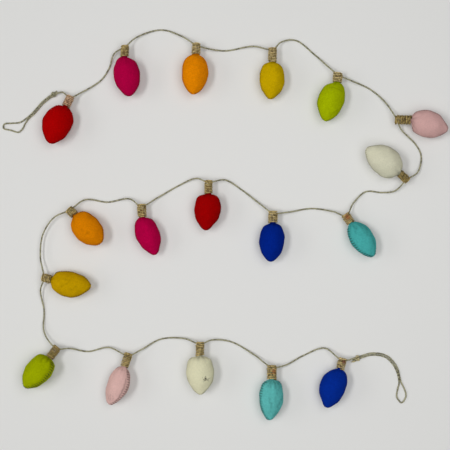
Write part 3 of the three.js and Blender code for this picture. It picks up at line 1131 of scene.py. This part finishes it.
    def end_stuffing(self) -> None:
        """Keep the shape that the pressure gave, with the swell limited."""
        apply_modifiers(self.piece)
        moved = read_points(self.piece) - self.slack_points
        far = np.linalg.norm(moved, axis=1, keepdims=True)
        limit = self.swell_limit * MM
        moved *= np.where(far > 1e-9, limit * np.tanh(far / limit) / np.maximum(far, 1e-9), 1.0)
        write_points(self.piece, self.slack_points + moved)
        log.info("bulb %02d swelled by up to %.4f mm", self.number, float(far.max()) / MM)

    def refine(self) -> None:
        """Subdivide the skin once."""
        subdivision = self.piece.modifiers.new("fine", "SUBSURF")
        subdivision.levels = subdivision.render_levels = 1
        apply_modifiers(self.piece)

    def sew(self) -> None:
        """Draw the seam, its pinches, the gathers at the neck and the stuffing's lumps, and keep
        the painted shade in the seam's crease, the stitch holes, tucks and folds and under the
        binding.
        """
        plan = self.plan
        places, normals = read_points(self.piece), read_points(self.piece, "normal")
        along = read_attribute(self.piece, "along")
        turn = np.arctan2(read_attribute(self.piece, "thick"), read_attribute(self.piece, "wide"))
        radius = np.interp(along, self.edge_along, self.edge_radius)
        edge = np.interp(along, self.edge_along, self.edge)
        from_seam = radius * np.arcsin(np.clip(np.abs(np.sin(turn)), 0, 1))
        on_felt = eased(along / 1.5) * eased((plan.length - along) / 1.0)
        phase = (edge / plan.stitch_pitch) % 1.0 - 0.5
        pinch = np.exp(-((phase * plan.stitch_pitch / 0.6) ** 2))
        ridge = 0.46 * np.exp(-((from_seam / 0.9) ** 2))
        groove = -0.34 * np.exp(-(((from_seam - plan.reach) / 0.8) ** 2)) * (0.5 + 0.9 * pinch)
        drawn = -0.45 * pinch * np.exp(-((from_seam / (0.85 * plan.reach)) ** 2))
        first, second, third, fourth, fifth, sixth = self.waves
        pleats = np.cos(self.gathers * turn + first)
        pleats = pleats + 0.6 * np.cos((self.gathers - 4) * turn + second)
        near_neck = np.exp(-np.maximum(along, 0) / plan.gathered)
        gathers = 0.4 * pleats * near_neck * eased((along + 0.8) / 1.6)
        share = along / plan.length
        middle = np.sin(math.pi * np.clip(share, 0, 1))
        lumps = (
            0.28 * np.sin(2 * turn + 5 * share + third) * middle
            + 0.22 * np.sin(3 * turn - 9 * share + fourth) * middle
            + 0.16 * np.sin(5 * turn + 17 * share + fifth)
            + 0.11 * np.sin(4 * turn - 26 * share + sixth)
        ) * eased(radius / 6.0)
        from_crown = np.angle(np.exp(1j * (turn - math.radians(plan.crown))))
        crown = plan.crown_height * np.exp(-np.sqrt(from_crown**2 + 0.01) / 0.45) * middle
        folds, fold_shade = self.folds(turn, along, radius)
        moved = (ridge + groove + drawn) * on_felt + gathers + lumps + crown + folds
        places = places + normals * (moved * MM)[:, None]
        places[:, 2] = self.settle(places[:, 2] / MM) * MM
        write_points(self.piece, places)
        # The seam attribute: a darker line along the seam, with painted shade in the seam's crease,
        # the stitch holes, the tucks of the gathers, the fold lines and on the neck under the
        # binding.
        between = 1.0 - 0.5 * (plan.thread_width > 0.7) * (1 - pinch)
        seam_line_and_shade = 0.75 * np.exp(-((from_seam / 0.6) ** 2))
        seam_line_and_shade = (seam_line_and_shade + 0.45 * between * np.exp(-((from_seam / 1.9) ** 2))) * on_felt
        hole = 0.3 + 0.8 * plan.thread_width
        hole_shade = pinch * np.exp(-(((from_seam - plan.reach) / hole) ** 2)) * on_felt
        tuck_shade = np.clip(-pleats, 0, 1) * near_neck * (along > -0.6)
        dark = seam_line_and_shade + 0.9 * hole_shade + 0.7 * tuck_shade + 0.85 * fold_shade + eased(-0.4 - along)
        write_attribute(self.piece, "seam", np.clip(dark, 0, 1))
        self.piece.data.polygons.foreach_set("use_smooth", [True] * len(self.piece.data.polygons))
        self.tree = BVHTree.FromObject(self.piece, bpy.context.evaluated_depsgraph_get())

    def folds(
        self, turn: np.ndarray, along: np.ndarray, radius: np.ndarray
    ) -> tuple[np.ndarray, np.ndarray]:
        """Return the height of the lines drawn in the felt, and the painted shade in them.

        Args:
            turn: The turn of each point from the right-hand seam.
            along: How far it lies from the neck.
            radius: The radius there; not used.
        """
        height, dark = np.zeros_like(turn), np.zeros_like(turn)
        for fold in self.plan.folds:
            start, end = fold.share * self.plan.length, fold.end_share * self.plan.length
            first, last = math.radians(fold.turn), math.radians(fold.end_turn)
            girth = float(np.interp((start + end) / 2, self.edge_along, self.edge_radius))
            way = np.array([(last - first) * girth, end - start])
            reach = float(np.linalg.norm(way))
            way /= reach
            apart = np.column_stack([np.angle(np.exp(1j * (turn - first))) * girth, along - start])
            forward = apart @ way
            waver = 0.35 * np.sin(forward * 0.9 + start)
            sideways = np.abs(apart @ np.array([-way[1], way[0]]) + waver)
            fade = eased((forward + 1.0) / 2.0) * eased((reach + 1.0 - forward) / 2.0)
            line = np.exp(-((sideways / fold.width) ** 2)) * fade
            banks = np.exp(-(((sideways - 2.2 * fold.width) / fold.width) ** 2)) * fade
            height += fold.depth * (0.45 * banks - line)
            # Painted shade in the fold's groove.
            dark += line * min(abs(fold.depth) / 0.4, 1.0) * (fold.depth > 0)
        return height, np.clip(dark, 0, 1)

    @staticmethod
    def settle(heights: np.ndarray) -> np.ndarray:
        """Return heights in millimetres with what would sink into the table pressed flat."""
        return np.maximum(0.5 * (heights + np.sqrt(heights**2 + 0.5)) - 0.06, 0.02)

    def surface_at(self, turn: float, along: float) -> tuple[np.ndarray, np.ndarray] | None:
        """Return the felt's place and normal at a turn round the spine.

        Args:
            turn: The angle round from the right-hand seam, in radians.
            along: How far from the neck.
        """
        radius = float(np.interp(along, self.edge_along, self.edge_radius))
        ends = self.section(
            np.array([turn, turn]), np.array([along, along]), np.array([0.01, radius + 4.0]),
            Spine.thickness,
        )
        start, far = Vector(ends[0]), Vector(ends[1])
        place, normal, _, _ = self.tree.ray_cast(start, (far - start).normalized(), 0.03)
        if place is None:
            return None
        return np.array(place), np.array(normal)

    def stitch(self) -> bpy.types.Object:
        """Return the whip stitches, one slanted bar over the seam at each pinch."""
        cloud = Cloud()
        count = int(self.edge[-1] / self.plan.stitch_pitch)
        for seam_turn in (0.0, math.pi):
            for index in range(count):
                edge = (index + 0.5) * self.plan.stitch_pitch
                if not 2.0 < edge < self.edge[-1] - 1.8:
                    continue
                slant = self.dice.normal(0.55, 0.16)
                reach = self.plan.reach * self.dice.uniform(0.75, 1.15)
                line = []
                for share in self.stitch_shares:
                    at = edge + share * slant
                    along = float(np.interp(at, self.edge, self.edge_along))
                    radius = max(float(np.interp(at, self.edge, self.edge_radius)), 1.5)
                    found = self.surface_at(seam_turn + share * reach / radius, along)
                    if found is None:
                        break
                    place, normal = found
                    lift = (0.75 if abs(share) < 0.8 else -0.6) * self.plan.thread_width / 2 * MM
                    line.append(place + normal * lift)
                if len(line) == len(self.stitch_shares):
                    radii = np.full(len(line), self.plan.thread_width / 2 * MM)
                    radii[[0, -1]] *= 0.6
                    places = above_table(np.array(line), radii + TWINE_CLEARANCE)
                    add_tube(cloud, places, radii, self.stitch_sides, offset=0.01 * index)
        return cloud.to_piece(f"whip_stitches_{self.number:02d}")

    def raise_nap(self) -> bpy.types.Object:
        """Return the felt's short loose fibres."""
        mesh = self.piece.data
        mesh.calc_loop_triangles()
        corners = np.empty(len(mesh.loop_triangles) * 3, np.int32)
        mesh.loop_triangles.foreach_get("vertices", corners)
        places = read_points(self.piece)[corners.reshape(-1, 3)]
        cross = np.cross(places[:, 1] - places[:, 0], places[:, 2] - places[:, 0])
        area = np.linalg.norm(cross, axis=1)
        chosen = self.dice.choice(len(area), self.plan.fluff, p=area / area.sum())
        shares = self.dice.dirichlet((1, 1, 1), self.plan.fluff)
        roots = np.einsum("ij,ijk->ik", shares, places[chosen])
        normals = cross[chosen] / area[chosen][:, None]
        ways = unit(normals + self.dice.normal(0, 0.75, normals.shape))
        outward = np.einsum("ij,ij->i", ways, normals)
        above = (roots[:, 2] > 0.8 * MM) & (outward > 0.15)
        lengths = self.dice.uniform(0.5, 1.5, self.plan.fluff) * MM
        cloud = Cloud()
        roots, width = roots - normals * 0.05 * MM, self.fibre_width * MM
        add_fluff(
            cloud, roots[above], ways[above], lengths[above], width, Hair.STRAIGHT, self.dice
        )
        return cloud.to_piece(f"felt_nap_{self.number:02d}")


@dataclass(frozen=True)
class DarkTuft:
    """A pinch of dark fibre caught on a bulb's felt, in millimetres of the plan."""

    at: tuple[float, float]
    fibres: int = 32
    spread: float = 3.0
    fibre_width: float = 0.5

    def lay_on(self, bulb: FeltBulb) -> bpy.types.Object:
        """Return the tuft, lying on a bulb.

        Args:
            bulb: The bulb that it is caught on.
        """
        dice = np.random.default_rng(TUFT_SEED)
        cloud, down = Cloud(), Vector((0.0, 0.0, -1.0))
        for index in range(self.fibres):
            offset = dice.normal(0, self.spread / 2, 2)
            above = on_plan((self.at[0] + offset[0], self.at[1] + offset[1], 60.0))
            found, facing, _, _ = bulb.tree.ray_cast(Vector(above), down, 0.1)
            place, normal = np.array(found), np.array(facing)
            way = np.array([math.cos(0.9 + index), math.sin(0.9 + index), 0.12])
            way = way - normal * float(way @ normal) * 0.85
            root = np.array([place + normal * 0.12 * MM])
            lengths = dice.uniform(1.2, 2.8, 1) * MM
            add_fluff(
                cloud, root, unit(way)[None], lengths, self.fibre_width * MM, Hair.BENT, dice
            )
        return cloud.to_piece("dark_tuft")


@dataclass
class WoundBinding:
    """Jute twine wound round a bulb's neck and closed over its end. Sizes are in millimetres."""

    number: int
    plan: BulbPlan
    twine: Twine = WOUND_TWINE
    pitch: float = 2.05
    gap: float = 0.3
    past_twine: float = 2.0
    step: float = 0.8
    closing_turns: float = 2.3
    hairs: int = 110
    hair_width: float = 0.09

    def __post_init__(self) -> None:
        """Work out the spine."""
        self.spine = Spine(self.plan)
        self.dice = np.random.default_rng(BINDING_SEED + self.number)

    def route(self) -> np.ndarray:
        """Return the winding's middle line, from the neck's rim to the closed end."""
        thick = self.twine.radius / MM
        reach = self.plan.sleeve_width / 2 - thick
        first, last = -self.gap - thick, -(self.plan.sleeve + self.past_twine) + thick * 0.9
        turns = (first - last) / self.pitch
        ends = self.exit_turns()
        start = float(np.mean(ends)) - (first + self.plan.sleeve) / self.pitch * 2 * math.pi
        turn = np.linspace(0.0, turns * 2 * math.pi, int(turns * 2 * math.pi * reach / self.step))
        tilt, wander = self.dice.uniform(0.1, 0.35), self.dice.uniform(0, 6.28, 3)
        along = first - turn / (2 * math.pi) * self.pitch + tilt * np.sin(turn + wander[0])
        radius = reach + 0.14 * np.sin(turn * 0.37 + wander[1])
        radius = radius + 0.1 * np.sin(turn * 1.9 + wander[2])
        radius = radius - 1.5 * np.exp(-((turn / 0.5) ** 2))

        closing = np.linspace(
            0.0, self.closing_turns * 2 * math.pi,
            int(self.closing_turns * math.pi * reach / self.step),
        )[1:]
        shrink = 1.0 - closing / closing[-1] * 0.86
        turn = np.concatenate([turn, turn[-1] + closing])
        along = np.concatenate([along, along[-1] - 0.55 * (1 - shrink**2)])
        radius = np.concatenate([radius, radius[-1] * shrink])

        turn = turn + start
        along = self.part_round_twine(turn, along, radius, ends)
        return self.spine.place(radius * np.cos(turn), radius * np.sin(turn), along)

    def exit_turns(self) -> tuple[float, float]:
        """Return the turns round the spine at which the garland's twine comes out."""
        index = self.number - 1
        before = (BETWEEN_BULBS[index - 1] if index else START_LOOP)[-1]
        after = (BETWEEN_BULBS[index] if index < len(BETWEEN_BULBS) else END_LOOP)[0]
        forward = self.spine.ahead(self.plan.sleeve_angle)
        right = unit(np.array([forward[1], -forward[0], 0.0]))
        up = np.cross(right, forward)
        turns = []
        for neighbour in (before, after):
            way = on_plan(neighbour) / MM - self.spine.strung
            turns.append(math.atan2(float(way @ up), float(way @ right)))
        return turns[0], turns[1]

    def part_round_twine(
        self, turn: np.ndarray, along: np.ndarray, radius: np.ndarray, ends: tuple[float, float]
    ) -> np.ndarray:
        """Return the winding's place along the neck, parted where the twine comes out.

        Args:
            turn: The winding's turn round the spine.
            along: Its place along the neck.
            radius: Its radius.
            ends: Where the twine comes out.
        """
        from_twine = along + self.plan.sleeve
        for end in ends:
            apart = np.angle(np.exp(1j * (turn - end))) * radius
            near = np.exp(-((apart / 1.7) ** 2)) * eased((radius - 2.0) / 1.5)
            push = 1.15 * near * np.exp(-np.abs(from_twine) / 2.6)
            from_twine = from_twine + np.where(from_twine >= 0, push, -push)
        return from_twine - self.plan.sleeve

    def wind(self) -> bpy.types.Object:
        """Return the wound twine with its loose hairs."""
        cloud = Cloud()
        route = self.route()
        self.twine.lay_along(cloud, route)
        middle = (0.0, 0.0, -self.plan.sleeve / 2)
        centre = self.spine.place(*(np.array([value]) for value in middle))
        axis = self.spine.ahead(self.plan.sleeve_angle)
        chosen = route[self.dice.integers(4, len(route) - 4, self.hairs)]
        out = chosen - centre
        out = out - axis * (out @ axis)[:, None]
        out /= np.maximum(np.linalg.norm(out, axis=1, keepdims=True), 1e-6)
        ways = unit(out * 0.7 + self.dice.normal(0, 0.7, out.shape))
        roots = chosen + out * self.twine.radius * 0.8
        keep = (roots[:, 2] + ways[:, 2] * 2.5 * MM) > 0.0
        lengths = self.dice.gamma(2.2, 0.7, self.hairs) * MM + 0.6 * MM
        wound, width = cloud.count, self.hair_width * MM
        add_fluff(cloud, roots[keep], ways[keep], lengths[keep], width, Hair.BENT, self.dice)
        piece = cloud.to_piece(f"wound_binding_{self.number:02d}")
        # The groove attribute carries the painted shade between the turns.
        write_attribute(piece, "groove", self.depths(piece, wound))
        return piece

    def depths(self, piece: bpy.types.Object, wound: int) -> np.ndarray:
        """Return how deep between the turns each point lies, from 0 at the outside to 1, which the
        jute's material turns into painted shade.

        Args:
            piece: The wound twine.
            wound: How many of its points are twine; the rest are hairs.
        """
        places = read_points(piece) / MM
        axis = self.spine.ahead(self.plan.sleeve_angle)
        from_neck = places - self.spine.neck
        along = from_neck @ axis
        outwards = np.linalg.norm(from_neck - along[:, None] * axis, axis=1)
        to_side = self.plan.sleeve_width / 2 + 0.05 - outwards
        to_end = along + self.plan.sleeve + self.past_twine
        depth = eased((np.minimum(to_side, np.maximum(to_end, 0.0)) - 0.32) / 0.5)
        depth[wound:] = 0.0
        return depth


@dataclass
class StringingTwine:
    """The one length of twine that carries the bulbs, doubled back into a loop at both ends."""

    twine: Twine = Twine(fray=1.3)
    step: float = 0.6 * MM
    hairs_per_metre: float = 1100.0
    hair_width: float = 0.08 * MM

    def __post_init__(self) -> None:
        """Lay the route through all the bindings."""
        self.dice = np.random.default_rng(TWINE_SEED)
        table = list(START_LOOP)
        for index, plan in enumerate(BULBS):
            table.append(plan.strung)
            if index < len(BETWEEN_BULBS):
                table.extend(BETWEEN_BULBS[index])
        table.extend(END_LOOP)
        route = smooth_route(np.array([on_plan(place) for place in table]), self.step)
        self.route = above_table(route, self.twine.radius + TWINE_CLEARANCE)

    @property
    def length(self) -> float:
        """The twine's length."""
        return float(travelled_along(self.route)[-1])

    def lay(self) -> bpy.types.Object:
        """Return the laid twine."""
        cloud = Cloud()
        self.twine.lay_along(cloud, self.route)
        cloud.points = [above_table(points) for points in cloud.points]
        return cloud.to_piece("stringing_twine")

    def loose_hairs(self) -> bpy.types.Object:
        """Return the hairs that stand off the twine."""
        count = int(self.length * self.hairs_per_metre)
        ahead, side, up = frames_along(self.route)
        chosen = self.dice.integers(2, len(self.route) - 2, count)
        turn = self.dice.uniform(0, 2 * math.pi, count)
        out = side[chosen] * np.cos(turn)[:, None] + up[chosen] * np.sin(turn)[:, None]
        ways = out * 0.6 + ahead[chosen] * self.dice.normal(0, 0.8, count)[:, None]
        ways = unit(ways + self.dice.normal(0, 0.25, ways.shape))
        roots = self.route[chosen] + out * self.twine.radius * 0.7
        lengths = self.dice.gamma(2.2, 0.75, count) * MM + 0.5 * MM
        keep = roots[:, 2] + ways[:, 2] * lengths > 0.1 * MM
        cloud, width = Cloud(), self.hair_width
        add_fluff(cloud, roots[keep], ways[keep], lengths[keep], width, Hair.BENT, self.dice)
        return cloud.to_piece("twine_hairs")


@dataclass
class LoopKnot:
    """The overhand knot that closes a loop, in millimetres and degrees."""

    name: str
    at: tuple[float, float]
    angle: float
    cut_end: tuple[Point, ...] = ()
    spread: float = 1.12
    height: float = 2.65
    frayed_hairs: int = 40
    frayed_width: float = 0.22
    twine: Twine = WOUND_TWINE

    def tie(self) -> bpy.types.Object:
        """Return the knotted twine."""
        turn = np.linspace(0.0, 2 * math.pi, 90)
        across = (np.sin(turn) + 2 * np.sin(2 * turn)) * self.spread * 0.95
        along = (np.cos(turn) - 2 * np.cos(2 * turn)) * self.spread * 0.95
        over = -np.sin(3 * turn) * 0.95
        heading = math.radians(self.angle)
        places = np.column_stack([
            along * math.cos(heading) - across * math.sin(heading),
            along * math.sin(heading) + across * math.cos(heading),
            over,
        ])
        route = places * MM + on_plan((*self.at, self.height))
        cloud = Cloud()
        self.twine.lay_along(cloud, above_table(route, self.twine.radius + TWINE_CLEARANCE))
        if self.cut_end:
            self.add_cut_end(cloud)
        return cloud.to_piece(self.name)

    def add_cut_end(self, cloud: Cloud) -> None:
        """Add the cut end that the knot leaves, with its frayed fibres."""
        places = np.array([on_plan(place) for place in self.cut_end])
        self.twine.lay_along(cloud, smooth_route(places, 0.4 * MM))
        dice, count = np.random.default_rng(FRAY_SEED), self.frayed_hairs
        onward = unit(places[-1] - places[-2])
        ways = unit(onward + dice.normal(0, 0.5, (count, 3)) * np.array([1.0, 1.0, 0.3]))
        roots = places[-1] - onward * dice.uniform(0.0, 2.5, (count, 1)) * MM
        lengths = dice.uniform(1.6, 3.6, count) * MM
        add_fluff(cloud, roots, ways, lengths, self.frayed_width * MM, Hair.BENT, dice)


@dataclass(frozen=True)
class SoftBox:
    """A soft light beside the table, in metres and watts, turned towards the garland's middle."""

    name: str
    x: float
    height: float
    width: float
    length: float
    power: float

    def hang(self) -> None:
        """Hang the light."""
        data = bpy.data.lights.new(self.name, "AREA")
        data.shape, data.size, data.size_y = "RECTANGLE", self.width, self.length
        data.energy = self.power
        lamp = put_in_scene(self.name, data)
        lamp.location = (self.x, 0.0, self.height)
        lamp.rotation_euler = (0.0, math.atan2(self.x, self.height), 0.0)


@dataclass
class Studio:
    """The table, the soft lights to the left and overhead, and the camera straight above."""

    camera_height: float = 1.2
    sensor: float = 36.0
    field: float = 0.5625
    lights: tuple[SoftBox, ...] = (
        SoftBox("key_left", -1.35, 2.4, 0.5, 1.4, 25.0),
        SoftBox("low_left", -2.6, 1.5, 0.8, 2.4, 12.0),
        SoftBox("overhead", 0.3, 1.3, 1.0, 1.6, 9.65),
    )
    ambient: float = 0.135
    room_tone: Light = (1.0, 1.0, 0.99, 1.0)
    clipped: tuple[float, float] = (0.05, 20.0)
    table_size: float = 8.0

    def set_camera(self) -> None:
        """Put the camera above the middle of the picture."""
        data = bpy.data.cameras.new("overhead")
        data.sensor_width = self.sensor
        data.lens = self.sensor * self.camera_height / self.field
        data.clip_start, data.clip_end = self.clipped
        camera = put_in_scene("overhead", data)
        camera.location = (-LAY_CENTRE[0] * MM, -LAY_CENTRE[1] * MM, self.camera_height)
        bpy.context.scene.camera = camera

    def light(self) -> None:
        """Hang the soft lights and set the room's own light."""
        for box in self.lights:
            box.hang()
        world = bpy.data.worlds.new("room")
        world.use_nodes = True
        background = world.node_tree.nodes["Background"].inputs
        background["Color"].default_value = self.room_tone
        background["Strength"].default_value = self.ambient
        bpy.context.scene.world = world
        bpy.context.scene.view_settings.view_transform = "Standard"

    def lay_table(self) -> None:
        """Lay the pale table under the garland."""
        bpy.ops.object.select_all(action="DESELECT")
        bpy.ops.mesh.primitive_plane_add(size=self.table_size, location=(0.0, 0.0, 0.0))
        table = bpy.context.object
        table.name = "table_top"
        table.data.materials.append(TableFinish().material())


def finish_piece(
    piece: bpy.types.Object, material: bpy.types.Material, nodes: tuple[str, ...] = ()
) -> None:
    """Dress a piece, let it ride on the garland's body and log its triangles.

    Args:
        piece: The finished piece.
        material: Its material.
        nodes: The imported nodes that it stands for.
    """
    piece.data.materials.clear()
    piece.data.materials.append(material)
    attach(piece, "root")
    if nodes:
        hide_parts(*nodes)
    piece.data.calc_loop_triangles()
    log.info("%s: %d triangles", piece.name, len(piece.data.loop_triangles))


def string_up(twine_material: bpy.types.Material) -> None:
    """Lay the garland's twine and tie its two knots.

    Args:
        twine_material: The twine's material, which the first knot shares.
    """
    stringing = StringingTwine()
    twine = stringing.lay()
    finish_piece(twine, twine_material, ("twine",))
    hairs = stringing.loose_hairs()
    finish_piece(hairs, twine_material)
    start_knot = LoopKnot("start_loop_knot", (-214.4, 162.3), 43)
    end_knot = LoopKnot("end_loop_knot", (164.9, -166.2), 14, END_KNOT_TAIL)
    for knot, node, material in (
        (start_knot, "knot_start", twine_material),
        (end_knot, "knot_end", KNOT_JUTE.material()),
    ):
        tied = knot.tie()
        finish_piece(tied, material, (node,))
    round(stringing.length, 3)


def stuff(bulbs: list[FeltBulb]) -> None:
    """Put all the bulbs' skins under pressure at once."""
    for bulb in bulbs:
        bulb.start_stuffing()
    for frame in range(1, STUFFING_FRAMES + 1):
        bpy.context.scene.frame_set(frame)
    for bulb in bulbs:
        bulb.end_stuffing()
    bpy.context.scene.frame_set(1)


def dress(bulb: FeltBulb, jutes: dict[Jute, bpy.types.Material]) -> None:
    """Sew a bulb, give it its materials and bind its neck.

    Args:
        bulb: The bulb, with its skin made.
        jutes: The materials of the bindings without a stain.
    """
    felt, number = bulb.plan.felt, bulb.number
    # Each bulb's own tone, lighter or darker by the light that falls on it: painted light and
    # shade.
    tone = FELT_TONES_AS_LIT[number - 1]
    depth = PALE_MOTTLING if felt in (Felt.CREAM, Felt.PINK) else MOTTLING
    cloth = FeltFinish(f"{felt.value}_felt_{number:02d}", tone, depth).material()
    bulb.refine()
    bulb.sew()
    stitches, nap = bulb.stitch(), bulb.raise_nap()
    finish_piece(bulb.piece, cloth, (f"bulb_{number:02d}",))
    thread = ThreadFinish(f"thread_{number:02d}", tone, bulb.plan.thread)
    finish_piece(stitches, thread.material())
    finish_piece(nap, cloth)
    binding = WoundBinding(number, bulb.plan).wind()
    stained = STAINED_JUTE.get(number)
    material = stained.material() if stained else jutes[bulb.plan.jute]
    finish_piece(binding, material, (f"binding_{number:02d}",))


def main() -> None:
    """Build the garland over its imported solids."""
    logging.basicConfig(level=logging.INFO, format="%(name)s: %(message)s")
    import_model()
    studio = Studio()
    studio.set_camera()

    twine_material = TWINE_JUTE.material()
    binding_materials = {jute: finish.material() for jute, finish in BINDING_JUTE.items()}
    string_up(twine_material)

    bulbs = [FeltBulb(number, plan) for number, plan in enumerate(BULBS, 1)]
    for bulb in bulbs:
        bulb.cut_panels()
    stuff(bulbs)
    for bulb in bulbs:
        dress(bulb, binding_materials)
    tuft = DarkTuft(TUFTED_AT).lay_on(bulbs[TUFTED_BULB - 1])
    finish_piece(tuft, DARK_FIBRE.material())

    studio.light()
    studio.lay_table()


if __name__ == "__main__":
    main()
